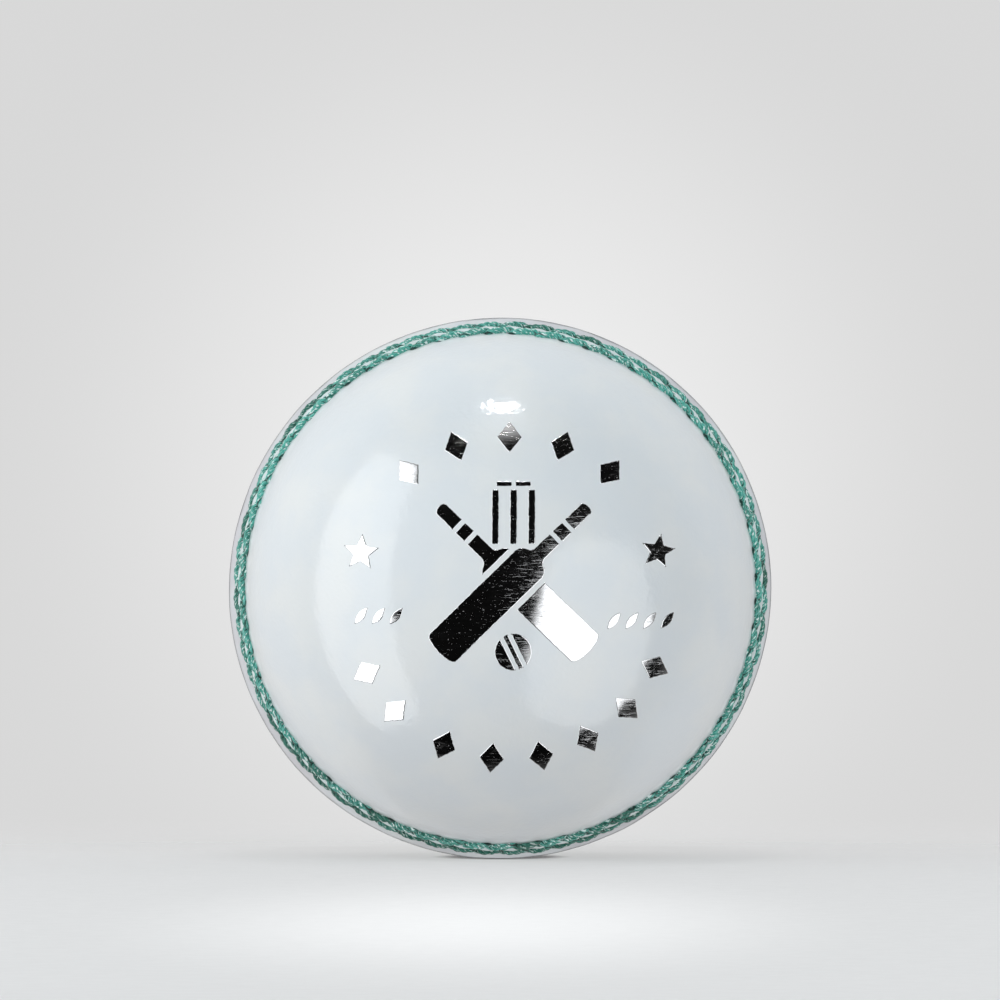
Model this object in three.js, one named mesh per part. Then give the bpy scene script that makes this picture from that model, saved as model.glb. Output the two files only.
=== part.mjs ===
// A men's cricket ball: a wound cork core inside two one-piece leather cups, closed by a raised
// seam with six rows of stitching. Millimetres, +Z up. The origin is the ball's centre, the seam
// lies in the XZ plane, and the seam's axis is Y: the stamped face looks along -Y.

import * as THREE from "three";

// ---- Driving dimensions ----

const LEATHER_RADIUS = 35.8; // smooth face of the cover
const LEATHER_THICKNESS = 3.7;
const FIT_GAP = 0.3; // clear space between two pieces that touch
const COVER_FACETS = 32; // around the seam axis
const CORE_FACETS = 20;

// The seam's cross-section. An arc is a distance along the leather from the joint of the two cups,
// and a height is above LEATHER_RADIUS.
const JOINT_ARC = FIT_GAP / 2;
const LIP = { height: 0.5, chamfer: 0.3 };
const CREST = { from: 3.4, to: 4.6, height: 0.7 };
const BETWEEN_ROWS = { arc: 8.65, height: 0.3 };
const BAND_END_ARC = 12.5;
const STITCH_ROWS = [
  { name: "closing_stitches", arc: 1.8, height: 0, rimHeight: 0.5 },
  { name: "middle_row_stitches", arc: 7.1, height: 0, rimHeight: 0.3 },
  { name: "outer_row_stitches", arc: 10.2, height: 0, rimHeight: 0.2 },
];
const THREAD_RADIUS = 0.5;
const GROOVE_MOUTH = 0.95; // half its width
const GROOVE_FLOOR = 0.5;

// The under-threads of the two outer rows, inside the cups.
const BOBBIN_ROWS = [
  { name: "middle_row_bobbin_thread", arc: 7.1 },
  { name: "outer_row_bobbin_thread", arc: 10.2 },
];
const BOBBIN_RADIUS = 0.35;

// The layers under the cover, as [inner radius, outer radius].
const LINING = [31.1, 31.8];
const LINING_END_ARC = 24;
const WINDINGS = {
  outer_twine_winding: [26.1, 30.7],
  middle_twine_winding: [18.9, 22.9],
  inner_twine_winding: [12.6, 15.7],
};
const WINDING_EYE = THREE.MathUtils.degToRad(8); // the opening left at each end of a winding
const CORK_LAYERS = {
  outer_cork_cup: [23.2, 25.8],
  inner_cork_cup: [16, 18.6],
};
const CORK_EDGE = THREE.MathUtils.degToRad(1.5); // from the seam plane to a cork cup's edge
const NUGGET_RADIUS = 12.3;

// ---- Materials ----

function material(color, roughness) {
  return new THREE.MeshStandardMaterial({ color, roughness, metalness: 0 });
}

const whiteLeather = material(0xdfe6ea, 0.25);
const greenThread = material(0x2e8c74, 0.6);
const linenThread = material(0xd9d2c0, 0.8);
const liningLeather = material(0xc9b391, 0.85);
const woolTwine = material(0xd6c8a6, 0.95);
const layerCork = material(0xb98c5a, 0.9);
const nuggetCork = material(0x7a4f35, 0.85);

// ---- Profiles ----
// Each is drawn for the back half, in the half plane that LatheGeometry turns about Y.

const QUARTER_TURN = Math.PI / 2;

function polarPoint(radius, angle) {
  const onAxis = Math.abs(angle) === QUARTER_TURN;
  return new THREE.Vector2(onAxis ? 0 : radius * Math.cos(angle), radius * Math.sin(angle));
}

function arcPoints(radius, from, to, steps) {
  const angles = Array.from({ length: steps + 1 }, (_, i) => from + ((to - from) * i) / steps);
  return angles.map((angle) => polarPoint(radius, angle));
}

function seamPoint(arc, height) {
  return polarPoint(LEATHER_RADIUS + height, arc / LEATHER_RADIUS);
}

function stitchGroove(row) {
  const floorHeight = row.height - THREAD_RADIUS - FIT_GAP;
  return [
    seamPoint(row.arc - GROOVE_MOUTH, row.rimHeight),
    seamPoint(row.arc - GROOVE_FLOOR, floorHeight),
    seamPoint(row.arc + GROOVE_FLOOR, floorHeight),
    seamPoint(row.arc + GROOVE_MOUTH, row.rimHeight),
  ];
}

// The channel inside a cup that holds a bobbin thread.
function bobbinChannel(row) {
  const mouthRadius = LEATHER_RADIUS - LEATHER_THICKNESS;
  const floorRadius = mouthRadius + 2 * BOBBIN_RADIUS + FIT_GAP;
  const angle = row.arc / LEATHER_RADIUS;
  const halfAngle = (BOBBIN_RADIUS + FIT_GAP) / mouthRadius;
  return [
    polarPoint(mouthRadius, angle - halfAngle),
    polarPoint(floorRadius, angle - halfAngle),
    polarPoint(floorRadius, angle + halfAngle),
    polarPoint(mouthRadius, angle + halfAngle),
  ];
}

function coverProfile() {
  const innerRadius = LEATHER_RADIUS - LEATHER_THICKNESS;
  const lastRow = STITCH_ROWS[STITCH_ROWS.length - 1];
  const pastChannels = (lastRow.arc + 2) / LEATHER_RADIUS;
  const inside = [
    polarPoint(innerRadius, JOINT_ARC / LEATHER_RADIUS),
    ...BOBBIN_ROWS.flatMap(bobbinChannel),
    ...arcPoints(innerRadius, pastChannels, QUARTER_TURN, 6),
  ];
  const outside = [
    seamPoint(JOINT_ARC, LIP.height - LIP.chamfer),
    seamPoint(JOINT_ARC + LIP.chamfer, LIP.height),
    ...stitchGroove(STITCH_ROWS[0]),
    seamPoint(CREST.from, CREST.height),
    seamPoint(CREST.to, CREST.height),
    ...stitchGroove(STITCH_ROWS[1]),
    seamPoint(BETWEEN_ROWS.arc, BETWEEN_ROWS.height),
    ...stitchGroove(STITCH_ROWS[2]),
    ...arcPoints(LEATHER_RADIUS, BAND_END_ARC / LEATHER_RADIUS, QUARTER_TURN, 8),
  ];
  return [...inside.reverse(), ...outside];
}

// A cup that is open along the seam plane.
function cupProfile([inner, outer], edge, steps) {
  return [
    ...arcPoints(inner, QUARTER_TURN, edge, steps),
    ...arcPoints(outer, edge, QUARTER_TURN, steps),
  ];
}

// A closed ring between two latitudes.
function bandProfile([inner, outer], from, to, steps) {
  const profile = [...arcPoints(inner, to, from, steps), ...arcPoints(outer, from, to, steps)];
  return [...profile, profile[0].clone()];
}

// A thread that runs once round the ball.
function threadProfile(centre, radius, sides) {
  return Array.from({ length: sides + 1 }, (_, i) => {
    const angle = (2 * Math.PI * (i % sides)) / sides;
    return new THREE.Vector2(
      centre.x + radius * Math.cos(angle),
      centre.y + radius * Math.sin(angle),
    );
  });
}

// ---- Assembly ----

const ball = new THREE.Group();

function addPiece(name, profile, facets, finish) {
  const piece = new THREE.Mesh(new THREE.LatheGeometry(profile, facets), finish);
  piece.name = name;
  ball.add(piece);
  return piece;
}

// One piece on the back half as drawn, and its twin half a turn round Z, on the front half.
function addPair(name, profile, facets, finish) {
  addPiece(`${name}_back`, profile, facets, finish);
  addPiece(`${name}_front`, profile, facets, finish).rotation.z = Math.PI;
}

const nuggetProfile = arcPoints(NUGGET_RADIUS, -QUARTER_TURN, QUARTER_TURN, 10);
addPiece("core_nugget", nuggetProfile, CORE_FACETS, nuggetCork);

for (const [name, radii] of Object.entries(CORK_LAYERS)) {
  addPair(name, cupProfile(radii, CORK_EDGE, 6), CORE_FACETS, layerCork);
}

const windingEnd = QUARTER_TURN - WINDING_EYE;
for (const [name, radii] of Object.entries(WINDINGS)) {
  addPiece(name, bandProfile(radii, -windingEnd, windingEnd, 12), CORE_FACETS, woolTwine);
}

const liningEdge = JOINT_ARC / LEATHER_RADIUS;
const liningEnd = LINING_END_ARC / LEATHER_RADIUS;
addPair("seam_lining", bandProfile(LINING, liningEdge, liningEnd, 5), COVER_FACETS, liningLeather);

addPair("cover", coverProfile(), COVER_FACETS, whiteLeather);

for (const row of STITCH_ROWS) {
  const profile = threadProfile(seamPoint(row.arc, row.height), THREAD_RADIUS, 6);
  addPair(row.name, profile, COVER_FACETS, greenThread);
}

for (const row of BOBBIN_ROWS) {
  const radius = LEATHER_RADIUS - LEATHER_THICKNESS + BOBBIN_RADIUS;
  const centre = polarPoint(radius, row.arc / LEATHER_RADIUS);
  addPair(row.name, threadProfile(centre, BOBBIN_RADIUS, 4), COVER_FACETS, linenThread);
}

export default ball;
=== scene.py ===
"""A white cricket ball, seen square on to its stamped face, with the seam edge on.

The ball's sizes are in millimetres, turned into metres as each mesh is made, and the stage's are in
metres. The ball's axis is Y: the stamped face looks along -Y. A point on the leather is given by
`turn`, the angle round the ball, clockwise from the top as seen from the front, and by `arc`, its
distance along the leather from the joint.
"""

import math

import bpy
import numpy as np
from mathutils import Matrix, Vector
from mathutils.geometry import delaunay_2d_cdt


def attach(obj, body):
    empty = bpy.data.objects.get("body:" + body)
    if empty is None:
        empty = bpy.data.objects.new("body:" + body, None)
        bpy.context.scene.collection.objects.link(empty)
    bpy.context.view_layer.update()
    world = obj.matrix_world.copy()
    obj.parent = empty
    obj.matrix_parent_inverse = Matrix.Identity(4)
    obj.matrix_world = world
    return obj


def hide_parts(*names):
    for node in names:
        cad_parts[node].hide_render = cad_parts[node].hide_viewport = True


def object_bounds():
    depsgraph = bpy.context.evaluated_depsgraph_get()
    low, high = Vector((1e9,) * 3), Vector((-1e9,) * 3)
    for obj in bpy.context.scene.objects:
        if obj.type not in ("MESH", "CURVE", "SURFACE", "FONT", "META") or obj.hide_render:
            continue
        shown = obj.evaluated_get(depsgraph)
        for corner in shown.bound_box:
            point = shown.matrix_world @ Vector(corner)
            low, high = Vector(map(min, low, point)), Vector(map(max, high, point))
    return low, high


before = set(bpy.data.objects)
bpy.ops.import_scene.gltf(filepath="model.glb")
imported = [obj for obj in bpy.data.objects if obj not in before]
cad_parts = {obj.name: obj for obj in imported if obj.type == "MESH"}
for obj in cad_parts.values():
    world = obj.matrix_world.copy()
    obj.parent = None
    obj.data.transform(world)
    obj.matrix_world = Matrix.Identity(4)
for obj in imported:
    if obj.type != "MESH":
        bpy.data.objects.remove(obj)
CAD_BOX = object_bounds()

MM = 0.001
TAU = 2 * math.pi

# ---- The ball ----

LEATHER_RADIUS = 35.8
LEATHER_THICKNESS = 3.7
INNER_RADIUS = LEATHER_RADIUS - LEATHER_THICKNESS
POLE_ARC = LEATHER_RADIUS * math.pi / 2
STITCHES = 64  # in each row
PITCH = TAU / STITCHES

# arc: where the row runs. groove: its depth and width in the leather. phase: of the first hole, in
# stitches. slant: how far the thread swings across the row. centre: height of the thread's middle
# over LEATHER_RADIUS. thread: its radius. pale: least tone of a stitch.
ROWS = {
    "closing_stitches": dict(
        arc=1.8, groove=(0.55, 0.65), phase=0.25, slant=0.3, centre=0.05, thread=0.5, pale=0.1
    ),
    "middle_row_stitches": dict(
        arc=7.1, groove=(0.25, 0.55), phase=0.0, slant=0.45, centre=0.16, thread=0.6, pale=0.0
    ),
    "outer_row_stitches": dict(
        arc=10.2, groove=(0.05, 0.5), phase=0.5, slant=0.42, centre=0.17, thread=0.58, pale=0.25
    ),
}


# ---- Meshes ----


def make_piece(name, points, faces, material, replaces=()):
    """A smooth-shaded mesh object of points in millimetres; faces is a list of index arrays."""
    mesh = bpy.data.meshes.new(name)
    corners = np.concatenate([f.ravel() for f in faces]).astype(np.int32)
    sizes = np.concatenate([np.full(len(f), f.shape[1]) for f in faces])
    starts = np.concatenate([[0], np.cumsum(sizes)[:-1]]).astype(np.int32)
    mesh.vertices.add(len(points))
    mesh.vertices.foreach_set("co", (np.asarray(points) * MM).astype(np.float32).ravel())
    mesh.loops.add(len(corners))
    mesh.loops.foreach_set("vertex_index", corners)
    mesh.polygons.add(len(sizes))
    mesh.polygons.foreach_set("loop_start", starts)
    mesh.update(calc_edges=True)
    mesh.validate()
    mesh.shade_smooth()
    piece = bpy.data.objects.new(name, mesh)
    bpy.context.scene.collection.objects.link(piece)
    mesh.materials.append(material)
    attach(piece, "root")
    if replaces:
        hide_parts(*replaces)
    return piece


def set_attribute(piece, name, kind, values):
    key = "value" if kind == "FLOAT" else "vector"
    layer = piece.data.attributes.new(name, kind, "POINT")
    layer.data.foreach_set(key, np.asarray(values, np.float32).ravel())


def round_steps(count):
    """The angles of a turn's equal steps."""
    return np.arange(count) * TAU / count


def on_ball(turn, arc, height):
    """Points over the front half's leather."""
    turn, arc, height = np.broadcast_arrays(turn, arc, height)
    latitude = arc / LEATHER_RADIUS
    radius = LEATHER_RADIUS + height
    out = radius * np.cos(latitude)
    return np.stack([out * np.sin(turn), -radius * np.sin(latitude), out * np.cos(turn)], axis=-1)


def to_half(points, half):
    """The back half is the front half, turned half a turn round Z."""
    return points if half == "front" else points * np.array([-1.0, -1.0, 1.0])


class Rings:
    """A surface of closed rings, each with as many points as the last one or half as many."""

    def __init__(self):
        self.points, self.faces, self.last = [], [], None
        self.count = 0

    def add(self, ring):
        n = len(ring)
        first = self.count
        self.points.append(ring)
        self.count += n
        if self.last is not None:
            start, m = self.last
            j = np.arange(n)
            after = (j + 1) % n
            if m == n:
                quads = np.stack([start + j, start + after, first + after, first + j], axis=-1)
                self.faces.append(quads)
            elif n == 1:
                i = np.arange(m)
                tip = np.full(m, first)
                self.faces.append(np.stack([start + i, start + (i + 1) % m, tip], axis=-1))
            elif m == 1:
                tip = np.full(n, start)
                self.faces.append(np.stack([tip, first + after, first + j], axis=-1))
            elif m == 2 * n:
                a, b, c = start + 2 * j, start + 2 * j + 1, start + (2 * j + 2) % m
                lo, hi = first + j, first + after
                self.faces += [np.stack(t, axis=-1) for t in ((a, b, lo), (b, hi, lo), (b, c, hi))]
            else:
                i = np.arange(m)
                lo, hi = start + i, start + (i + 1) % m
                a, b, c = first + 2 * i, first + 2 * i + 1, first + (2 * i + 2) % n
                self.faces += [np.stack(t, axis=-1) for t in ((lo, b, a), (lo, hi, b), (hi, c, b))]
        self.last = (first, n)

    def close(self, first, n):
        """Joins the last ring to an earlier ring of as many points."""
        start, j = self.last[0], np.arange(n)
        after = (j + 1) % n
        self.faces.append(np.stack([start + j, start + after, first + after, first + j], axis=-1))

    def all_points(self):
        return np.concatenate(self.points)


# ---- Material nodes ----


class Material:
    """A node material with a Principled shader; put() sets or links an input, add() makes a node."""

    def __init__(self, name, **sockets):
        self.material = bpy.data.materials.new(name)
        self.material.use_nodes = True
        self.tree = self.material.node_tree
        self.shader = self.tree.nodes["Principled BSDF"]
        for socket, value in sockets.items():
            self.put(self.shader, socket.replace("_", " "), value)
        self.place = self.add("ShaderNodeTexCoord").outputs["Object"]

    def put(self, node, socket, value):
        target = node.inputs[socket]
        if isinstance(value, bpy.types.NodeSocket):
            self.tree.links.new(value, target)
        else:
            target.default_value = (*value, 1) if target.type == "RGBA" else value

    def add(self, kind, inputs=None, **settings):
        node = self.tree.nodes.new(kind)
        for key, value in settings.items():
            setattr(node, key, value)
        for socket, value in (inputs or {}).items():
            self.put(node, socket, value)
        return node

    def noise(self, feature, vector=None, detail=2.0, roughness=0.5):
        """Noise whose features are about `feature` millimetres across."""
        inputs = {"Vector": vector or self.place, "Scale": 1 / (feature * MM)}
        return self.add(
            "ShaderNodeTexNoise", {**inputs, "Detail": detail, "Roughness": roughness}
        ).outputs["Fac"]

    def mapped(self, source, scale, rotation=(0, 0, 0)):
        """The source coordinates, scaled and then rotated."""
        inputs = {"Vector": source, "Scale": scale, "Rotation": rotation}
        return self.add("ShaderNodeMapping", inputs).outputs["Vector"]

    def strands(self, stretch, scale, detail=4.0):
        """Noise over a thread's fibre coordinates, which run along it and round it."""
        vector = self.mapped(self.attribute("fibre", "Vector"), (*stretch, 1))
        inputs = {"Vector": vector, "Scale": scale, "Detail": detail}
        return self.add("ShaderNodeTexNoise", inputs).outputs["Fac"]

    def ramp(self, value, low, high, to_low=0.0, to_high=1.0):
        """A smooth step from one value to another."""
        inputs = {"Value": value, "From Min": low, "From Max": high, "To Min": to_low, "To Max": to_high}
        return self.add("ShaderNodeMapRange", inputs, interpolation_type="SMOOTHSTEP").outputs["Result"]

    def mix(self, factor, a, b):
        node = self.add("ShaderNodeMix", data_type="RGBA")
        for socket, value in (("Factor_Float", factor), ("A_Color", a), ("B_Color", b)):
            target = next(s for s in node.inputs if s.identifier == socket)
            if isinstance(value, bpy.types.NodeSocket):
                self.tree.links.new(value, target)
            else:
                target.default_value = (*value, 1) if isinstance(value, tuple) else value
        return next(s for s in node.outputs if s.identifier == "Result_Color")

    def math(self, operation, a, b=0.0):
        return self.add("ShaderNodeMath", {0: a, 1: b}, operation=operation).outputs[0]

    def product(self, a, b):
        return self.math("MULTIPLY", a, b)

    def attribute(self, name, output="Fac"):
        return self.add("ShaderNodeAttribute", attribute_name=name).outputs[output]

    def bump(self, height, distance, strength=1.0, normal=None):
        inputs = {"Height": height, "Distance": distance * MM, "Strength": strength}
        if normal:
            inputs["Normal"] = normal
        return self.add("ShaderNodeBump", inputs).outputs["Normal"]


def white_leather():
    m = Material("white_leather", Coat_Weight=1.0, Coat_Roughness=0.015, Coat_IOR=1.5)
    m.put(m.shader, "Specular IOR Level", 0.3)
    raw = m.attribute("raw")
    cool_white, warm_white = (0.755, 0.79, 0.815), (0.80, 0.818, 0.818)
    mottle = m.ramp(m.noise(9, detail=4), 0.35, 0.68)
    colour = m.mix(mottle, cool_white, warm_white)
    smudge = m.ramp(m.noise(2.6, detail=5, roughness=0.65), 0.6, 0.78)
    colour = m.mix(m.product(smudge, 0.16), colour, (0.69, 0.72, 0.70))
    # Painted shade: the raised band by the joint is greyed, more in some random patches than in others.
    shade_patches = m.ramp(m.noise(14, detail=3), 0.38, 0.62, 0.15, 1.0)
    colour = m.mix(m.product(m.attribute("joint_band_shade"), shade_patches), colour, (0.64, 0.63, 0.66))
    # Painted reflection: green bounce light from the threads tints the leather round the ridge mint.
    colour = m.mix(m.attribute("thread_bounce"), colour, (0.6, 0.86, 0.82))
    colour = m.mix(raw, colour, (0.52, 0.44, 0.33))
    # Painted shade: the leather goes near-black green in and round the needle holes.
    colour = m.mix(m.attribute("pit"), colour, (0.012, 0.09, 0.07))
    m.put(m.shader, "Base Color", colour)
    swell = m.bump(m.noise(5.5, detail=2), 0.018)
    creases = m.bump(m.noise(1.7, detail=2), 0.035, normal=swell)
    grain = m.bump(m.noise(0.55, detail=1), 0.02, normal=creases)
    nap = m.product(m.noise(0.35, detail=4), raw)
    relief = m.bump(nap, 0.15, normal=grain)
    m.put(m.shader, "Normal", relief)
    m.put(m.shader, "Coat Normal", relief)
    m.put(m.shader, "Roughness", m.ramp(raw, 0.0, 1.0, 0.38, 0.9))
    return m.material


def green_thread():
    m = Material("green_thread", Roughness=0.45, Coat_Weight=0.4, Coat_Roughness=0.12, Coat_IOR=1.45)
    tone = m.attribute("tone")
    colour = m.mix(tone, (0.0, 0.11, 0.066), (0.05, 0.43, 0.34))
    strands = m.strands((0.8, 4.0), 3.0)
    # Painted highlights: pale streaks along the fibres and near-white glints stand in for the thread's
    # sheen.
    light = m.product(m.ramp(strands, 0.44, 0.64), m.ramp(tone, 0.0, 0.25, 0.25, 0.8))
    colour = m.mix(light, colour, (0.26, 0.76, 0.67))
    glints = m.product(m.ramp(m.strands((1.2, 1.6), 2.0), 0.55, 0.63), m.ramp(tone, 0.0, 0.25, 0.5, 0.95))
    colour = m.mix(glints, colour, (0.88, 1.0, 0.97))
    # Painted shade: dark in the crevices between plies and where a thread goes into its hole.
    crevice_shade = m.ramp(m.attribute("outer_side"), 0.15, -0.6)
    colour = m.mix(crevice_shade, colour, (0.0, 0.035, 0.026))
    m.put(m.shader, "Base Color", colour)
    m.put(m.shader, "Normal", m.bump(strands, 0.06))
    return m.material


def linen_thread():
    m = Material("linen_thread", Roughness=0.5, Coat_Weight=0.3, Coat_Roughness=0.3)
    strands = m.strands((0.5, 4.0), 4.0, detail=3.0)
    colour = m.mix(m.ramp(strands, 0.35, 0.7), (0.42, 0.36, 0.26), (0.78, 0.72, 0.58))
    # Painted shade: dark in the crevices between the plies.
    crevice_shade = m.ramp(m.attribute("outer_side"), 0.2, -0.8)
    m.put(m.shader, "Base Color", m.mix(crevice_shade, colour, (0.12, 0.09, 0.055)))
    m.put(m.shader, "Normal", m.bump(strands, 0.05))
    return m.material


def wool_twine():
    m = Material("wool_twine", Roughness=0.95)
    stretch = (0.9, 2.6)
    strands = m.strands(stretch, 3.0)
    bands = {"Vector": m.mapped(m.attribute("fibre", "Vector"), (*stretch, 1)), "Scale": 0.55}
    wave = m.add("ShaderNodeTexWave", {**bands, "Distortion": 1.5}, bands_direction="X")
    plies = wave.outputs["Fac"]
    patches = m.ramp(m.noise(6, detail=3), 0.35, 0.65)
    colour = m.mix(patches, (0.52, 0.43, 0.28), (0.7, 0.62, 0.46))
    colour = m.mix(m.ramp(strands, 0.5, 0.8), colour, (0.84, 0.79, 0.66))
    # Painted shade: darker in the grooves between the plies.
    colour = m.mix(m.ramp(plies, 0.35, 0.05), colour, (0.24, 0.18, 0.1))
    m.put(m.shader, "Base Color", colour)
    ridged = m.bump(plies, 0.12)
    m.put(m.shader, "Normal", m.bump(strands, 0.08, normal=ridged))
    m.put(m.shader, "Sheen Weight", 0.3)
    return m.material


def granular(name, dark, light, joint_colour, fleck, roughness):
    """Pressed granules: each has its own tone, with dark joints and finer flecks."""
    m = Material(name, Roughness=roughness)
    parts = m.add("ShaderNodeSeparateXYZ", {"Vector": m.attribute("granule", "Vector")})
    tone, joint = parts.outputs["X"], parts.outputs["Y"]
    colour = m.mix(tone, dark, light)
    crumbs = m.noise(0.7, detail=4, roughness=0.65)
    colour = m.mix(m.ramp(crumbs, 0.55, 0.72), colour, fleck)
    colour = m.mix(m.ramp(m.noise(3.5, detail=2), 0.35, 0.7, 0.0, 0.35), colour, dark)
    colour = m.mix(m.ramp(joint, 0.55, 1.0), colour, joint_colour)
    m.put(m.shader, "Base Color", colour)
    m.put(m.shader, "Normal", m.bump(crumbs, 0.08))
    return m.material


def layer_cork():
    return granular(
        "layer_cork", dark=(0.3, 0.165, 0.075), light=(0.56, 0.36, 0.19),
        joint_colour=(0.09, 0.045, 0.02), fleck=(0.68, 0.5, 0.3), roughness=0.85,
    )


def nugget_cork():
    return granular(
        "nugget_cork", dark=(0.1, 0.045, 0.025), light=(0.33, 0.17, 0.085),
        joint_colour=(0.02, 0.012, 0.01), fleck=(0.45, 0.27, 0.14), roughness=0.65,
    )


def lining_leather():
    return granular(
        "lining_leather", dark=(0.43, 0.31, 0.19), light=(0.5, 0.375, 0.24),
        joint_colour=(0.3, 0.2, 0.115), fleck=(0.62, 0.5, 0.35), roughness=0.95,
    )


def silver_foil():
    m = Material("silver_foil", Metallic=1.0, Base_Color=(0.9, 0.9, 0.91))
    long = m.mapped(m.place, (1, 1, 9), rotation=(0, 0.5, 0))
    streaks = m.noise(2.4, vector=long, detail=6, roughness=0.7)
    thin = m.mapped(m.place, (1, 1, 25), rotation=(0, -0.7, 0))
    scratches = m.ramp(m.noise(2.0, vector=thin, detail=2), 0.6, 0.72)
    specks = m.ramp(m.noise(0.22, detail=2), 0.69, 0.73, 0.0, 0.6)
    rough = m.math("MAXIMUM", specks, m.ramp(streaks, 0.35, 0.75, 0.06, 0.2))
    m.put(m.shader, "Roughness", rough)
    swell = m.bump(m.noise(4.0, detail=2), 0.02)
    brushed = m.bump(streaks, 0.005, normal=swell)
    m.put(m.shader, "Normal", m.bump(scratches, 0.004, normal=brushed))
    return m.material


MAKERS = (
    white_leather, green_thread, silver_foil, linen_thread,
    wool_twine, layer_cork, nugget_cork, lining_leather,
)
MATERIALS = {make.__name__: make() for make in MAKERS}


# ---- Camera ----

CAMERA_DISTANCE = 1.45
CAMERA_AZIMUTH = math.radians(0.87)
CAMERA_ELEVATION = math.radians(1.0)
AIM_ABOVE = 11.8 * MM  # the ball sits low in the picture
AIM_LEFT = 0.2 * MM
SENSOR_WIDTH, FOCAL_LENGTH = 36.0, 387.0  # in millimetres


def make_camera():
    data = bpy.data.cameras.new("camera")
    data.sensor_width, data.lens = SENSOR_WIDTH, FOCAL_LENGTH
    data.clip_start, data.clip_end = 0.05, 50.0
    camera = bpy.data.objects.new("camera", data)
    bpy.context.scene.collection.objects.link(camera)
    flat = math.cos(CAMERA_ELEVATION)
    back = Vector((
        math.sin(CAMERA_AZIMUTH) * flat,
        -math.cos(CAMERA_AZIMUTH) * flat,
        math.sin(CAMERA_ELEVATION),
    ))
    camera.location = back * CAMERA_DISTANCE
    aim = Vector((-AIM_LEFT, 0, AIM_ABOVE))
    camera.rotation_euler = (aim - camera.location).to_track_quat("-Z", "Y").to_euler()
    bpy.context.scene.camera = camera


make_camera()


# ---- Leather cups ----
# Heights are over LEATHER_RADIUS. A pair of arcs is where a height starts and ends running out.

BAND_HEIGHT, BAND_FALL = 0.58, (4.4, 6.6)  # the raised leather beside the joint
CREST_ARC, CREST_HEIGHT, CREST_WIDTH = 3.9, 0.13, 0.8  # on the band, past the closing row
JOINT_DIP, JOINT_WIDTH = 0.5, 0.3
RIDGE_ARC, RIDGE_HEIGHT, RIDGE_WIDTH = 8.7, 0.3, 0.55  # between the two outer rows
RIDGE_PUCKER = 0.2  # how much higher it is between two of the middle row's holes
PUCKER_ARC, PUCKER_HEIGHT, PUCKER_WIDTH = 11.6, 0.05, 0.6  # past the outer row
PIT_DEPTH, PIT_LENGTH, PIT_WIDTH = 0.6, 0.34, 0.55  # of a needle hole, along the row and across it
BULGE_TURN = math.radians(240)  # where the joint's lips stand proudest
BULGE_HEIGHT, BULGE_FALL = 0.5, (2.4, 6.0)
BULGE_SHARPNESS = 2.2
JOINT_SHADE_FALL = (5.4, 6.8)  # where the painted shade greying the band by the joint runs out
BOUNCE_STRENGTH, BOUNCE_WIDTH = 0.25, 2.2  # of the green bounce light from the threads, painted on the leather round the ridge
WAVER_SEEDS = {"front": 5, "back": 6}

MOST_POINTS = STITCHES * 14  # of a ring
FIRST_ARC, BAND_END, BAND_RINGS = 0.06, 14.0, 71  # of the evenly spaced rings
FIRST_STEP, WIDEST_STEP, STEP_GROWTH = 0.25, 1.0, 1.12  # between the rings from there to the pole
CLOSE_POINTS = 0.16  # a ring gets half as many points when they are closer than this
SPARSE_ARC = 20  # and past this arc, when they are closer than twice this
INSIDE_RINGS = 22
INSIDE_EDGE, WALL_ARC = 0.15, 0.09  # arcs of the cup's inner edge and of the wall at the joint


def bell(x, centre, width):
    return np.exp(-(((x - centre) / width) ** 2))


def smooth_step(x, low, high):
    t = np.clip((x - low) / (high - low), 0, 1)
    return t * t * (3 - 2 * t)


def waver(turn, size, harmonics, seed):
    """A smooth random swing of about `size` that closes on itself after one turn."""
    draw = np.random.default_rng(seed)
    total = np.zeros_like(turn)
    for k in harmonics:
        total = total + draw.uniform(0.4, 1) * np.sin(k * turn + draw.uniform(0, TAU))
    return size * total / math.sqrt(len(harmonics))


def hole_places(row, seed):
    """Each hole's turn and arc."""
    draw = np.random.default_rng(seed)
    turns = (np.arange(STITCHES) + row["phase"]) * PITCH + draw.normal(0, 0.03 * PITCH, STITCHES)
    arcs = row["arc"] + draw.normal(0, 0.07, STITCHES)
    return turns, arcs


def row_seed(name, half):
    return 100 + 10 * list(ROWS).index(name) + (half == "back")


def bulge(turn, arc, half):
    """How far the joint's lips, and the threads beside them, stand proud near BULGE_TURN."""
    world_turn = turn if half == "front" else -turn
    proud = BULGE_HEIGHT * np.exp((np.cos(world_turn - BULGE_TURN) - 1) * BULGE_SHARPNESS)
    return proud * (1 - smooth_step(arc, *BULGE_FALL))


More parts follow.
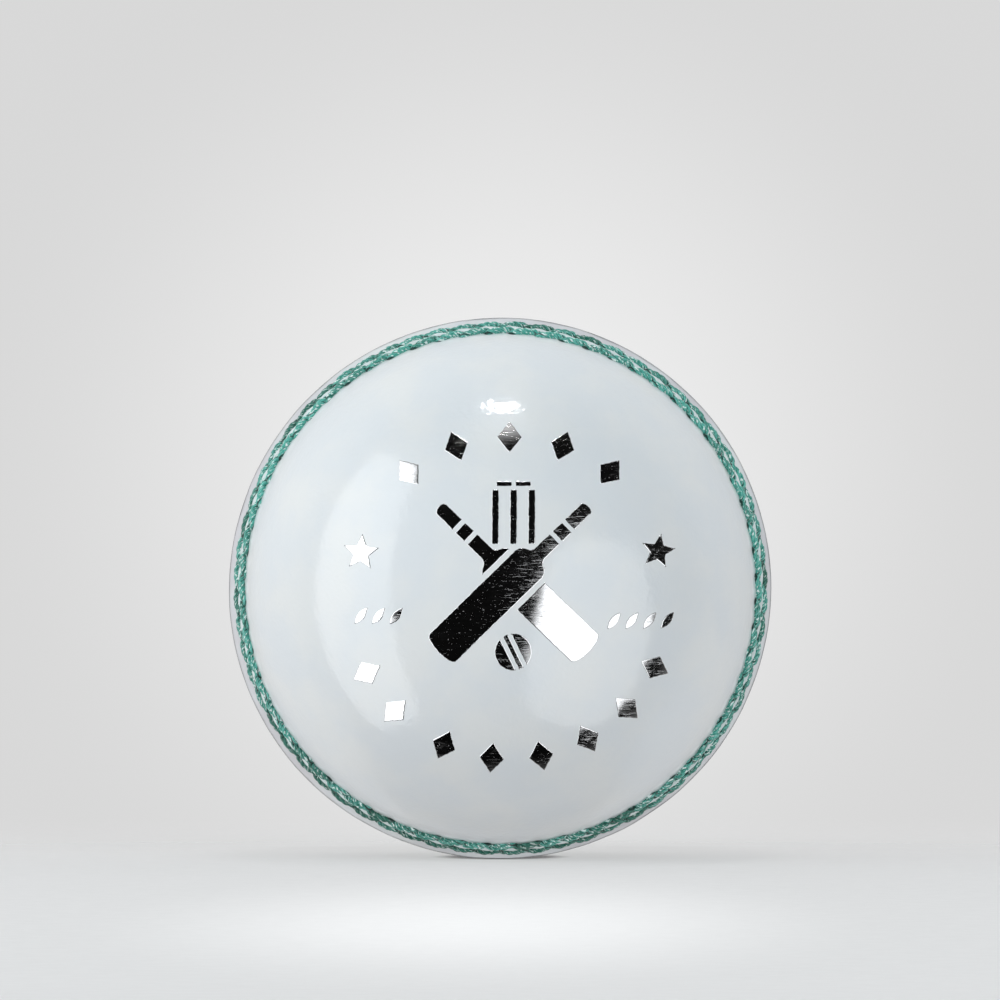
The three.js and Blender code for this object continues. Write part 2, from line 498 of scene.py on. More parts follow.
def leather_height(turn, arc, half):
    """Height of the finished leather over LEATHER_RADIUS, and how deep in a pit each point is."""
    seed = WAVER_SEEDS[half]
    raised = BAND_HEIGHT + waver(turn, 0.03, range(3, 12), seed)
    crest = CREST_HEIGHT + waver(turn, 0.03, range(20, 44), seed + 10)
    scallop = 0.5 - 0.5 * np.cos(STITCHES * turn)
    ridge = RIDGE_HEIGHT + RIDGE_PUCKER * scallop + waver(turn, 0.04, range(40, 90), seed + 30)
    ridge_arc = RIDGE_ARC + waver(turn, 0.08, range(10, 30), seed + 20)
    height = raised * (1 - smooth_step(arc, *BAND_FALL))
    height += crest * bell(arc, CREST_ARC, CREST_WIDTH)
    height += bulge(turn, arc, half)
    height -= JOINT_DIP * bell(arc, 0, JOINT_WIDTH)
    height += ridge * bell(arc, ridge_arc, RIDGE_WIDTH)
    height += PUCKER_HEIGHT * (1 - scallop) * bell(arc, PUCKER_ARC, PUCKER_WIDTH)
    pit = np.zeros_like(height)
    for name, row in ROWS.items():
        depth, width = row["groove"]
        height -= depth * bell(arc, row["arc"], width)
        turns, arcs = hole_places(row, row_seed(name, half))
        nearest = np.round(turn / PITCH - row["phase"]).astype(int) % STITCHES
        round_ball = (turn - turns[nearest] + math.pi) % TAU - math.pi
        across = round_ball * LEATHER_RADIUS * np.cos(row["arc"] / LEATHER_RADIUS)
        away = arc - arcs[nearest]
        pit = np.maximum(pit, np.exp(-((across / PIT_LENGTH) ** 2) - (away / PIT_WIDTH) ** 2))
    height -= PIT_DEPTH * pit
    return height, pit


def cup_rings():
    """Arc and number of points of each ring of the outer face, from the joint to the pole."""
    arcs = list(np.linspace(FIRST_ARC, BAND_END, BAND_RINGS))
    counts = [MOST_POINTS] * BAND_RINGS
    step = FIRST_STEP
    while arcs[-1] < POLE_ARC - WIDEST_STEP:
        step = min(step * STEP_GROWTH, WIDEST_STEP)
        arcs.append(arcs[-1] + step)
        spacing = TAU * LEATHER_RADIUS * math.cos(arcs[-1] / LEATHER_RADIUS) / counts[-1]
        too_close = CLOSE_POINTS * (2 if arcs[-1] > SPARSE_ARC else 1)
        halve = spacing < too_close and counts[-1] % 2 == 0
        counts.append(counts[-1] // 2 if halve else counts[-1])
    return arcs, counts


def make_cover(half):
    """A cup as one closed surface: the inside from the pole, the wall at the joint, the outside."""
    rings, pits = Rings(), []

    def add_ring(ring, pit=0):
        rings.add(ring)
        pits.append(np.broadcast_to(pit, len(ring)))

    add_ring(np.array([[0.0, -INNER_RADIUS, 0.0]]))
    for i, arc in enumerate(np.linspace(POLE_ARC, INSIDE_EDGE, INSIDE_RINGS)[1:]):
        turn = round_steps(MOST_POINTS // 2 ** max(0, 5 - i))
        add_ring(on_ball(turn, arc, -LEATHER_THICKNESS))
    for depth in (0.65, 0.25):
        add_ring(on_ball(round_steps(MOST_POINTS), WALL_ARC, -LEATHER_THICKNESS * depth))
    first_outside = rings.count
    for arc, count in zip(*cup_rings()):
        turn = round_steps(count)
        height, pit = leather_height(turn, arc, half)
        add_ring(on_ball(turn, arc, height), pit)
    add_ring(np.array([[0.0, -LEATHER_RADIUS, 0.0]]))
    points = rings.all_points()
    piece = make_piece(
        f"leather_cup_{half}",
        to_half(points, half),
        rings.faces,
        MATERIALS["white_leather"],
        (f"cover_{half}",),
    )
    latitudes = np.arcsin(np.clip(-points[:, 1] / np.linalg.norm(points, axis=1), -1, 1))
    arcs = LEATHER_RADIUS * latitudes
    set_attribute(piece, "joint_band_shade", "FLOAT", 1 - smooth_step(arcs, *JOINT_SHADE_FALL))
    set_attribute(piece, "thread_bounce", "FLOAT", BOUNCE_STRENGTH * bell(arcs, RIDGE_ARC, BOUNCE_WIDTH))
    # The pit mask also drives the painted shade in the needle holes.
    set_attribute(piece, "pit", "FLOAT", smooth_step(np.concatenate(pits), 0.2, 0.75))
    set_attribute(piece, "raw", "FLOAT", np.arange(len(points)) < first_outside)


# ---- Stitches ----

PLIES = 3
PLY_SIDES = 8
STITCH_STEPS = 26
PLY_RADIUS, PLY_OFFSET = 0.6, 0.42  # as parts of the thread's radius
TWIST = TAU / 2.9  # per millimetre of thread
FIBRE_SLANT = 0.35  # how far the fibres lean round a ply
STITCH_REACH = 0.06  # how far a thread runs on past each hole, as a part of a stitch
RISE_POWER = 0.32  # the smaller, the steeper a thread comes out of its hole
END_SHADE = 2.2  # how much painted shade darkens a thread on its way into a hole
HOLE_DEPTH = 0.62  # of the thread's middle where it goes into the leather
FOOT_SHADE = 0.45  # how much tone the threads lose towards the foot of the ball: painted shade, darker towards the bottom


def thread_points(centres, outward, radius, phases, plies=PLIES, sides=PLY_SIDES, twist=TWIST):
    """Points of a twisted thread round each centre line: thread, ply, step, side."""
    tangent = np.gradient(centres, axis=1)
    tangent /= np.linalg.norm(tangent, axis=-1, keepdims=True)
    side = np.cross(tangent, outward)
    side /= np.linalg.norm(side, axis=-1, keepdims=True)
    up = np.cross(side, tangent)
    steps = np.linalg.norm(np.diff(centres, axis=1), axis=-1)
    length = np.concatenate([np.zeros((len(centres), 1)), np.cumsum(steps, axis=1)], axis=1)
    ply_radius, ply_offset = (radius * PLY_RADIUS, radius * PLY_OFFSET) if plies > 1 else (radius, 0)
    ply = np.arange(plies)[None, :, None]
    spin = twist * length[:, None, :] + phases[:, None, None] + ply * TAU / plies
    across = up[:, None] * np.cos(spin)[..., None] + side[:, None] * np.sin(spin)[..., None]
    core = centres[:, None] + ply_offset * across
    around = round_steps(sides)
    upward, sideways = up[:, None, :, None], side[:, None, :, None]
    ring = upward * np.cos(around)[:, None] + sideways * np.sin(around)[:, None]
    points = core[..., None, :] + ply_radius * ring
    along_fibre = length[:, None, :, None] - FIBRE_SLANT * around * ply_radius
    of_ply = phases[:, None, None, None] + ply[..., None]
    fibre = np.stack(np.broadcast_arrays(along_fibre, around * ply_radius, of_ply), axis=-1)
    outer_side = np.cos(around - spin[..., None])
    return points, fibre, outer_side


def tube_faces(tubes, steps, sides):
    """Faces of closed tubes: quads along each, and a flat cap at each end."""
    t, r, c = np.meshgrid(np.arange(tubes), np.arange(steps - 1), np.arange(sides), indexing="ij")
    here = (t * steps + r) * sides + c
    beside = (t * steps + r) * sides + (c + 1) % sides
    quads = np.stack([here, here + sides, beside + sides, beside], axis=-1).reshape(-1, 4)
    starts = (np.arange(tubes) * steps * sides)[:, None]
    first = starts + np.arange(sides)
    last = starts + (steps - 1) * sides + np.arange(sides)[::-1]
    return [quads, first, last]


def make_stitches(name, half):
    row = ROWS[name]
    seed = row_seed(name, half)
    draw = np.random.default_rng(seed + 500)
    turns, arcs = hole_places(row, seed)
    along = np.linspace(0, 1, STITCH_STEPS)[None, :]
    start, end = turns[:, None], np.roll(turns, -1)[:, None]
    span = (end - start) % TAU
    turn = start + span * (-STITCH_REACH + (1 + 2 * STITCH_REACH) * along)
    slant = row["slant"] * draw.normal(1, 0.15, STITCHES)[:, None]
    arc = arcs[:, None] + (np.roll(arcs, -1) - arcs)[:, None] * along + slant * np.cos(np.pi * along)
    lift = np.sin(np.pi * along) ** RISE_POWER
    top = row["centre"] + draw.normal(0, 0.03, STITCHES)[:, None]
    height = (top + HOLE_DEPTH) * lift - HOLE_DEPTH + bulge(turn, row["arc"], half)
    centres = on_ball(turn, arc, height)
    outward = centres / np.linalg.norm(centres, axis=-1, keepdims=True)
    phases = draw.uniform(0, TAU, STITCHES)
    points, fibre, outer_side = thread_points(centres, outward, row["thread"], phases)
    sunk = np.broadcast_to(1 - lift, height.shape)[:, None, :, None]
    tones = row["pale"] + draw.uniform(0, 0.6, STITCHES)
    # Painted shade: stitches get darker towards the foot of the ball.
    tones -= FOOT_SHADE * (0.5 - 0.5 * np.cos(turns)) ** 3
    tone = np.broadcast_to(tones[:, None, None, None], fibre.shape[:-1])
    piece = make_piece(
        f"{name}_twisted_{half}",
        to_half(points.reshape(-1, 3), half),
        tube_faces(STITCHES * PLIES, STITCH_STEPS, PLY_SIDES),
        MATERIALS["green_thread"],
        (f"{name}_{half}",),
    )
    set_attribute(piece, "fibre", "FLOAT_VECTOR", fibre)
    set_attribute(piece, "tone", "FLOAT", tone)
    # outer_side carries the painted shade at a thread's ends as well as the side each ply faces.
    set_attribute(piece, "outer_side", "FLOAT", outer_side - END_SHADE * sunk)


# ---- Inside the ball ----

LINING = (31.1, 31.8)
LINING_END = 24 / LEATHER_RADIUS
BOBBIN_RADIUS, BOBBIN_PLIES = 0.35, 2
BOBBIN_ROWS = {
    "middle_row_bobbin_thread": ROWS["middle_row_stitches"]["arc"],
    "outer_row_bobbin_thread": ROWS["outer_row_stitches"]["arc"],
}
ROUND_SIDES = 7  # of a twine or a bobbin ply
TWINE_RADIUS = 0.62
TWINE_STEPS = 56  # in a turn of the winding
TURNS_PER_RADIUS = 3.3  # of twine, for each millimetre of the winding's radius
LEAST_LEAN, LEAN_RANGE = math.radians(12), math.radians(66)  # of a turn, from the XZ plane
LEAN_STEP, AZIMUTH_STEP = 2.399, 2.51  # from one turn to the next
TWINE_DEPTH, BED_DEPTH = 0.9, 1.3  # of the loose turns and of the bed, under the winding's outside
BED_POINTS, BED_RINGS = 96, 33
WINDING_EYE = math.radians(8)
WINDINGS = {"outer": (26.1, 30.7), "middle": (18.9, 22.9), "inner": (12.6, 15.7)}
CORK_CUPS = {"outer": (23.2, 25.8), "inner": (16.0, 18.6)}
CORK_EDGE, LINING_EDGE = math.radians(1.5), 0.005
NUGGET_RADIUS = 12.3
SCATTER = 0.55  # of the granules' places, over the root of their number
AT_ONCE = 4000  # directions compared with the granules in one go


def spread_points(count, seed):
    """Directions spread evenly, a little at random."""
    i = np.arange(count) + 0.5
    polar, turn = np.arccos(1 - 2 * i / count), math.pi * (1 + math.sqrt(5)) * i
    points = np.stack([np.sin(polar) * np.cos(turn), np.sin(polar) * np.sin(turn), np.cos(polar)], axis=1)
    points += np.random.default_rng(seed).normal(0, SCATTER / math.sqrt(count), points.shape)
    return points / np.linalg.norm(points, axis=1, keepdims=True)


def granules(directions, count, seed):
    """How far each direction is from its granule's edge (0 to 1), and the granule's own tone."""
    centres = spread_points(count, seed)
    tones = np.random.default_rng(seed + 1).uniform(0, 1, count)
    size = 2 / math.sqrt(count)
    inward, tone = [], []
    for part in np.array_split(directions, max(1, len(directions) // AT_ONCE)):
        away = np.sqrt(np.maximum(2 - 2 * part @ centres.T, 0))
        order = np.argpartition(away, 2, axis=1)[:, :2]
        nearest = np.sort(np.take_along_axis(away, order, axis=1), axis=1)
        inward.append(np.clip((nearest[:, 1] - nearest[:, 0]) / size, 0, 1))
        tone.append(tones[np.argmin(away, axis=1)])
    return np.concatenate(inward), np.concatenate(tone)


def make_layer(name, node, slot, profile, relief, grain, half="front", around=240, loop=False):
    """A turned body. profile: (radius, latitude, how rough from 0 to 1), and the pole's latitude is 90
    degrees. relief: how deep the joints between granules are. grain: (number of granules, seed)."""
    rings, marks = Rings(), []
    for radius, latitude, rough in profile:
        n = 1 if math.isclose(abs(latitude), math.pi / 2) else around
        turn = round_steps(n)
        flat = math.cos(latitude)
        ways = np.stack([flat * np.sin(turn), np.full(n, -math.sin(latitude)), flat * np.cos(turn)], axis=1)
        inward, tone = granules(ways, *grain)
        joint = 1 - smooth_step(inward, 0, 0.55)
        rings.add(ways * (radius - relief * rough * (joint + 0.25 * tone))[:, None])
        marks.append(np.stack([tone, joint, np.full(n, rough)], axis=1))
    if loop:
        rings.close(0, around)
    points = to_half(rings.all_points(), half)
    piece = make_piece(name, points, rings.faces, MATERIALS[slot], (node,))
    set_attribute(piece, "granule", "FLOAT_VECTOR", np.concatenate(marks))


def sweep(radius, start, end, steps, rough):
    return [(radius, latitude, rough) for latitude in np.linspace(start, end, steps)]


def make_winding(size):
    """Twine wound round and round, each turn leaning a little differently, over a packed bed."""
    low, high = WINDINGS[size]
    turns = int(TURNS_PER_RADIUS * high)
    s = np.arange(turns * TWINE_STEPS + 1) / TWINE_STEPS
    lean = LEAST_LEAN + LEAN_RANGE * (0.5 + 0.5 * np.sin(s * LEAN_STEP))
    azimuth = s * AZIMUTH_STEP
    flat = np.stack([np.cos(azimuth), np.zeros_like(s), np.sin(azimuth)], axis=1)
    beside = np.stack([-np.sin(azimuth), np.zeros_like(s), np.cos(azimuth)], axis=1)
    tilted = beside * np.cos(lean)[:, None] + np.array([0, 1, 0]) * np.sin(lean)[:, None]
    ways = flat * np.cos(TAU * s)[:, None] + tilted * np.sin(TAU * s)[:, None]
    ways /= np.linalg.norm(ways, axis=1, keepdims=True)
    radius = high - TWINE_RADIUS - TWINE_DEPTH * (1 - s / turns)
    centres = (ways * radius[:, None])[None]
    points, fibre, _ = thread_points(centres, ways[None], TWINE_RADIUS, np.zeros(1), 1, ROUND_SIDES)
    tube = points.reshape(-1, 3)
    bed = Rings()
    end = math.pi / 2 - WINDING_EYE
    for r, a, b in ((low, end, -end), (high - BED_DEPTH, -end, end)):
        for latitude in np.linspace(a, b, BED_RINGS):
            bed.add(on_ball(round_steps(BED_POINTS), latitude * LEATHER_RADIUS, r - LEATHER_RADIUS))
    bed.close(0, BED_POINTS)
    bed_points = bed.all_points()
    faces = [f + len(tube) for f in bed.faces] + tube_faces(1, len(s), ROUND_SIDES)
    piece = make_piece(
        f"{size}_wool_winding",
        np.concatenate([tube, bed_points]),
        faces,
        MATERIALS["wool_twine"],
        (f"{size}_twine_winding",),
    )
    set_attribute(piece, "fibre", "FLOAT_VECTOR", np.concatenate([fibre.reshape(-1, 3), bed_points * 0.6]))


def make_bobbin(name, half):
    """The under-thread of a row: it rises a little to meet each stitch."""
    steps = STITCHES * 8
    turn = np.arange(steps + 1) * TAU / steps
    way = on_ball(turn, BOBBIN_ROWS[name] + 0.12 * np.sin(STITCHES * turn), 0)
    way /= np.linalg.norm(way, axis=1, keepdims=True)
    radius = INNER_RADIUS + BOBBIN_RADIUS + 0.15 * np.cos(STITCHES * turn)
    centres = (way * radius[:, None])[None]
    thread = (centres, way[None], BOBBIN_RADIUS, np.zeros(1), BOBBIN_PLIES, ROUND_SIDES)
    points, fibre, outer_side = thread_points(*thread)
    piece = make_piece(
        f"{name}_waxed_{half}",
        to_half(points.reshape(-1, 3), half),
        tube_faces(BOBBIN_PLIES, steps + 1, ROUND_SIDES),
        MATERIALS["linen_thread"],
        (f"{name}_{half}",),
    )
    set_attribute(piece, "fibre", "FLOAT_VECTOR", fibre)
    set_attribute(piece, "outer_side", "FLOAT", outer_side)


def make_inside():
    pole = math.pi / 2
    nugget = sweep(NUGGET_RADIUS, -pole, pole, 181, 1)
    make_layer("rubber_cork_nugget", "core_nugget", "nugget_cork", nugget, 0.3, (520, 31))
    for size in WINDINGS:
        make_winding(size)
    for half, seed in (("front", 41), ("back", 47)):
        for size, (low, high) in CORK_CUPS.items():
            profile = sweep(low, pole, CORK_EDGE, 60, 0.5) + sweep(high, CORK_EDGE, pole, 90, 1)
            grain = (int(2.6 * high**2), seed)
            node = f"{size}_cork_cup_{half}"
            make_layer(f"{size}_ground_cork_cup_{half}", node, "layer_cork", profile, 0.16, grain, half)
        low, high = LINING
        profile = sweep(low, LINING_END, LINING_EDGE, 40, 1) + sweep(high, LINING_EDGE, LINING_END, 40, 0.4)
        make_layer(
            f"split_leather_lining_{half}", f"seam_lining_{half}", "lining_leather", profile,
            relief=0.07, grain=(5200, seed + 2), half=half, around=360, loop=True,
        )
        for name in BOBBIN_ROWS:
            make_bobbin(name, half)


# ---- Foil stamping ----
# Outlines are points (x, z) in the plane of the seam, in millimetres from the stamp's centre.

STAMP_CENTRE = np.array([1.5, -0.9])
EMBLEM_CENTRE = (0.6, 2.6)
STAMP_RADIUS = 21.3  # of the circle that the marks stand on
FOIL_TOP = 0.035
FOIL_SINK, FOIL_BACK = -0.05, -0.08  # of its rim and of its back
FOIL_RIM = 0.1
FOIL_FLAT = 0.17  # how far in from its outline a plate is flat
RAGGED = 0.02
GRID, GRID_MARGIN = 0.5, 0.15  # spacing of the points over a plate, and how far in they start


def resample(outline, spacing=0.22):
    """The closed outline with points no further apart than the spacing."""
    points = []
    for a, b in zip(outline, np.roll(outline, -1, axis=0)):
        n = max(1, math.ceil(np.linalg.norm(b - a) / spacing))
        points += [a + (b - a) * i / n for i in range(n)]
    return np.array(points)


def inset(outline, distance):
    """The anticlockwise outline moved inwards."""
    ahead = np.roll(outline, -1, axis=0) - outline
    ahead /= np.linalg.norm(ahead, axis=1, keepdims=True)
    behind = np.roll(ahead, 1, axis=0)
    both = ahead + behind
    both /= np.linalg.norm(both, axis=1, keepdims=True)
    inward = np.stack([-both[:, 1], both[:, 0]], axis=1)
    spread = np.clip(np.sum(both * ahead, axis=1, keepdims=True), 0.45, 1)
    return outline + inward * distance / spread


def signed_area(outline):
    x, z = outline.T
    return 0.5 * np.sum(x * np.roll(z, -1) - z * np.roll(x, -1))


def turned(outline, clockwise):
    c, s = math.cos(clockwise), math.sin(clockwise)
    return np.asarray(outline) @ np.array([[c, -s], [s, c]])


def on_face(flat, height):
    """Points of the stamp's plane laid on the front face."""
    x, z = flat.T
    y = -np.sqrt(LEATHER_RADIUS**2 - x**2 - z**2)
    ways = np.stack([x, y, z], axis=-1) / LEATHER_RADIUS
    return ways * (LEATHER_RADIUS + height)


def inside(points, outline):
    """Which of the points lie inside the outline."""
    a, b = outline[None], np.roll(outline, -1, axis=0)[None]
    x, z = points[:, :1], points[:, 1:]
    crosses = (a[..., 1] > z) != (b[..., 1] > z)
    rise = np.where(crosses, b[..., 1] - a[..., 1], 1)
    at = a[..., 0] + (b[..., 0] - a[..., 0]) * (z - a[..., 1]) / rise
    return np.count_nonzero(crosses & (at > x), axis=1) % 2 == 1


def film(outline):
    """Points and faces of one closed plate of foil."""
    outline = resample(outline)
    if signed_area(outline) < 0:
        outline = outline[::-1]
    n = len(outline)
    outline = outline + np.random.default_rng(n).normal(0, RAGGED, outline.shape)
    rim, flat = inset(outline, FOIL_RIM), inset(outline, FOIL_FLAT)
    spans = (np.arange(a, b, GRID) for a, b in zip(flat.min(0), flat.max(0)))
    grid = np.stack(np.meshgrid(*spans), axis=-1).reshape(-1, 2)
    grid = grid[inside(grid, inset(flat, GRID_MARGIN))]
    corners = [Vector(p) for p in np.concatenate([flat, grid])]
    made = delaunay_2d_cdt(corners, [], [list(range(n))], 1, 1e-5)
    top = np.array([tuple(v) for v in made[0]])
    triangles = np.array(made[2])
    place = {sources[0]: i for i, sources in enumerate(made[3]) if sources}
    edge = np.array([place[i] for i in range(n)])
    loops = [edge, *(len(top) + n * k + np.arange(n) for k in range(2)), len(top) + 2 * n + edge]
    points = np.concatenate([
        on_face(top, FOIL_TOP),
        on_face(rim, FOIL_TOP),
        on_face(outline, FOIL_SINK),
        on_face(top, FOIL_BACK),
    ])
    sides = [
        np.stack([a, b, np.roll(b, -1), np.roll(a, -1)], axis=-1) for a, b in zip(loops, loops[1:])
    ]
    return points, [triangles, triangles[:, ::-1] + len(top) + 2 * n, *sides]


def make_foil(name, outlines, place=(0, 0), clockwise=0.0):
    points, faces, count = [], [], 0
    for outline in outlines:
        placed = turned(outline, clockwise) + STAMP_CENTRE + np.asarray(place)
        plate, plate_faces = film(placed)
        points.append(plate)
        faces += [f + count for f in plate_faces]
        count += len(plate)
    make_piece(name, np.concatenate(points), faces, MATERIALS["silver_foil"])


def star(radius, tips=5, waist=0.46):
    turns = np.arange(2 * tips) * math.pi / tips
    radii = np.where(np.arange(2 * tips) % 2, radius * waist, radius)
    return np.stack([radii * np.sin(turns), radii * np.cos(turns)], axis=1)


def lozenge(width, height):
    return np.array([(0, height), (width, 0), (0, -height), (-width, 0)]) / 2


def leaf(length=2.9, width=1.15):
    t = np.linspace(0, 1, 14)
    edge = np.stack([(t - 0.5) * length, width / 2 * np.sin(math.pi * t) ** 0.8], axis=1)
    return np.concatenate([edge, edge[-2:0:-1] * np.array([1, -1])])


def leaves(count, spacing=2.35):
    """Slanted leaves in a level row."""
    row = (np.arange(count) - (count - 1) / 2) * spacing
    return [turned(leaf(), math.radians(-52)) + np.array([x, 0]) for x in row]


def bar(x, z, width, height):
    return np.array([(x, z), (x + width, z), (x + width, z + height), (x, z + height)])


def cut(outline, normal, offset):
    """The part of the outline where its points, along the normal, are past the offset."""
    kept = []
    for a, b in zip(outline, np.roll(outline, -1, axis=0)):
        da, db = a @ normal - offset, b @ normal - offset
        if da > 0:
            kept.append(a)
        if da * db < 0:
            kept.append(a + (b - a) * da / (da - db))
    return np.array(kept)


def slices(outline, normal, edges):
    """The parts of the outline between each pair of edges, measured along the normal."""
    normal = np.asarray(normal)
    return [cut(cut(outline, normal, low), -normal, -high) for low, high in edges]


BLADE_WIDTH = 5.2


def bat():
    """A bat that stands on its toe, with its middle at the origin, in three parts."""
    half = BLADE_WIDTH / 2
    toe = [(half * math.sin(a), -13.0 - 0.9 * math.cos(a)) for a in np.linspace(-1.45, 1.45, 9)]
    shoulder = [(half, 2.9), (half - 0.2, 3.5), (half - 0.7, 3.95), (1.3, 4.25), (1.0, 4.7)]
    grip = [(0.95 * math.cos(a), 13.3 + 0.5 * math.sin(a)) for a in np.linspace(0, math.pi, 7)]
    left = [(-x, z) for x, z in reversed(shoulder)]
    whole = np.array(toe + shoulder + grip + left)
    return slices(whole, (0.0, 1.0), ((-20, 7.6), (8.05, 9.8), (10.25, 20)))


def small_ball():
    """A ball in three parts: the seam's band and the leather on each side of it."""
    turns = round_steps(48)
    whole = 2.5 * np.stack([np.cos(turns), np.sin(turns)], axis=1)
    return slices(whole, (0.9, 0.436), ((-3, -0.75), (-0.4, 0.4), (0.75, 3)))


def wicket():
    stumps = [bar(x - 0.5, 4.6, 1.0, 7.2) for x in (-2.4, 0.0, 2.4)]
    return stumps + [bar(x, 12.2, 2.1, 0.7) for x in (-2.3, 0.2)]


def on_circle(degrees, radius=STAMP_RADIUS):
    turn = math.radians(degrees)
    return radius * math.sin(turn), radius * math.cos(turn)


def arc_of_marks(name, middle, step, count):
    """Lozenges along the stamp's circle."""
    for i in range(count):
        degrees = middle + (i - (count - 1) / 2) * step
        make_foil(f"{name}_{i + 1}", [lozenge(3.4, 4.3)], on_circle(degrees), math.radians(degrees))


def make_stamp():
    arc_of_marks("foil_lozenge_top", 0, 19.3, 5)
    arc_of_marks("foil_lozenge_low", 159.8, 17.7, 6)
    arc_of_marks("foil_lozenge_side", 233.9, 17, 2)
    make_foil("foil_star_left", [star(2.6)], on_circle(-72.8, 20.5), math.radians(4))
    make_foil("foil_star_right", [star(2.5)], on_circle(72.5, 20.6), math.radians(10))
    make_foil("foil_leaves_left", leaves(3), on_circle(-97.6, 17.4))
    make_foil("foil_leaves_right", leaves(4), on_circle(99.7, 17.6))
    lean, gap = math.radians(46), 0.55
    over = [turned(part, lean) for part in bat()]
    under = [turned(part, -lean) for part in bat()]
    across = np.array([math.cos(lean), -math.sin(lean)])
    reach = BLADE_WIDTH / 2 + gap
    blade, grips = under[0], under[1:]
    hidden = [cut(blade, across, reach), cut(blade, -across, reach), *grips]
    make_foil("foil_crossed_bats", over + hidden, EMBLEM_CENTRE)
    make_foil("foil_wicket", wicket(), EMBLEM_CENTRE)
    make_foil("foil_ball", [part + np.array([0, -9.6]) for part in small_ball()], EMBLEM_CENTRE)


for half in ("front", "back"):
    make_cover(half)
    for name in ROWS:
        make_stitches(name, half)
make_stamp()
make_inside()


# ---- Stage ----

FLOOR_HEIGHT = CAD_BOX[0].z
FLOOR_BACK, FLOOR_RADIUS = 0.19, 0.34  # from the floor's centre to the ball, and to its edge
FLOOR_FADE = 0.12  # how far from its centre the floor starts to fade out
FLOOR_GLOW = (0.05, 0.15)  # how far its painted glow reaches along X and Y
CONTACT_SHADOW = (0.0055, 0.01)  # painted contact shadow: how far from the ball's foot the floor is dark, and no longer dark
BACKDROP = (0.87, 0.69)  # in the middle of the glow behind the ball, and away from it
GLOW_HEIGHT, GLOW_REACH = -0.0065, 0.053  # in radians, from the camera
ROOM_FRONT, ROOM_BACK = 0.003, 0.8  # how bright the room is towards the camera and away from it


class Nodes:
    """A node tree for a light or the world."""

    def __init__(self, tree):
        self.tree = tree
        tree.nodes.clear()

    def add(self, kind, *inputs, **settings):
        node = self.tree.nodes.new("ShaderNode" + kind)
        for key, value in settings.items():
            setattr(node, key, value)
        for socket, value in enumerate(inputs):
            if isinstance(value, bpy.types.NodeSocket):
                self.tree.links.new(value, node.inputs[socket])
            elif value is not None:
                node.inputs[socket].default_value = value
        return node.outputs[0] if node.outputs else None

    def ramp(self, value, low, high, to_low, to_high):
        return self.add("MapRange", value, low, high, to_low, to_high, interpolation_type="SMOOTHSTEP")

    def end(self, kind, colour, strength):
        shader = self.add(kind, (*colour, 1), strength)
        self.add("Output" + ("World" if kind == "Background" else "Material"), shader)


def make_world():
    """The camera sees the glow. The ball sees a room that is bright at the back, but black straight
    behind the ball, and darker underneath in reflections."""
    world = bpy.data.worlds.new("studio")
    bpy.context.scene.world = world
    world.use_nodes = True
    n = Nodes(world.node_tree)
    place = n.add("TexCoord")
    looking = (-math.sin(CAMERA_AZIMUTH), math.cos(CAMERA_AZIMUTH), GLOW_HEIGHT)
    split = n.add("SeparateXYZ", place).node
    room = n.ramp(split.outputs["Y"], -0.15, 0.35, ROOM_FRONT, ROOM_BACK)
    rays = n.add("LightPath").node
    behind = n.ramp(split.outputs["Y"], 0.68, 0.92, 0.0, 1.0)
    below = n.ramp(split.outputs["Z"], -0.6, -0.85, 0.0, 0.45)
    below = n.add("Math", below, rays.outputs["Is Glossy Ray"], operation="MULTIPLY")
    dark = n.add("Math", behind, below, operation="MAXIMUM")
    room = n.add("Mix", dark, None, room, 0.0)
    away = n.add("VectorMath", place, looking, operation="DISTANCE").node.outputs["Value"]
    glow = n.ramp(away, 0, GLOW_REACH, *BACKDROP)
    n.end("Background", (1, 1, 1), n.add("Mix", rays.outputs["Is Camera Ray"], None, room, glow))


def direction(azimuth, elevation):
    """From the ball: azimuth 0 is towards the camera (-Y) and grows to the right (+X). Degrees."""
    a, e = math.radians(azimuth), math.radians(elevation)
    return Vector((math.sin(a) * math.cos(e), -math.cos(a) * math.cos(e), math.sin(e)))


WHITE, COOL = (1.0, 1.0, 1.0), (0.965, 0.985, 1.0)
CYAN, BLUE = (0.89, 0.985, 1.02), (0.86, 0.98, 1.08)
PANEL_DISTANCE = 0.6
RAG_SIZE, RAG_DETAIL = 0.025, 5.0  # of the breaks in a ragged panel's edge


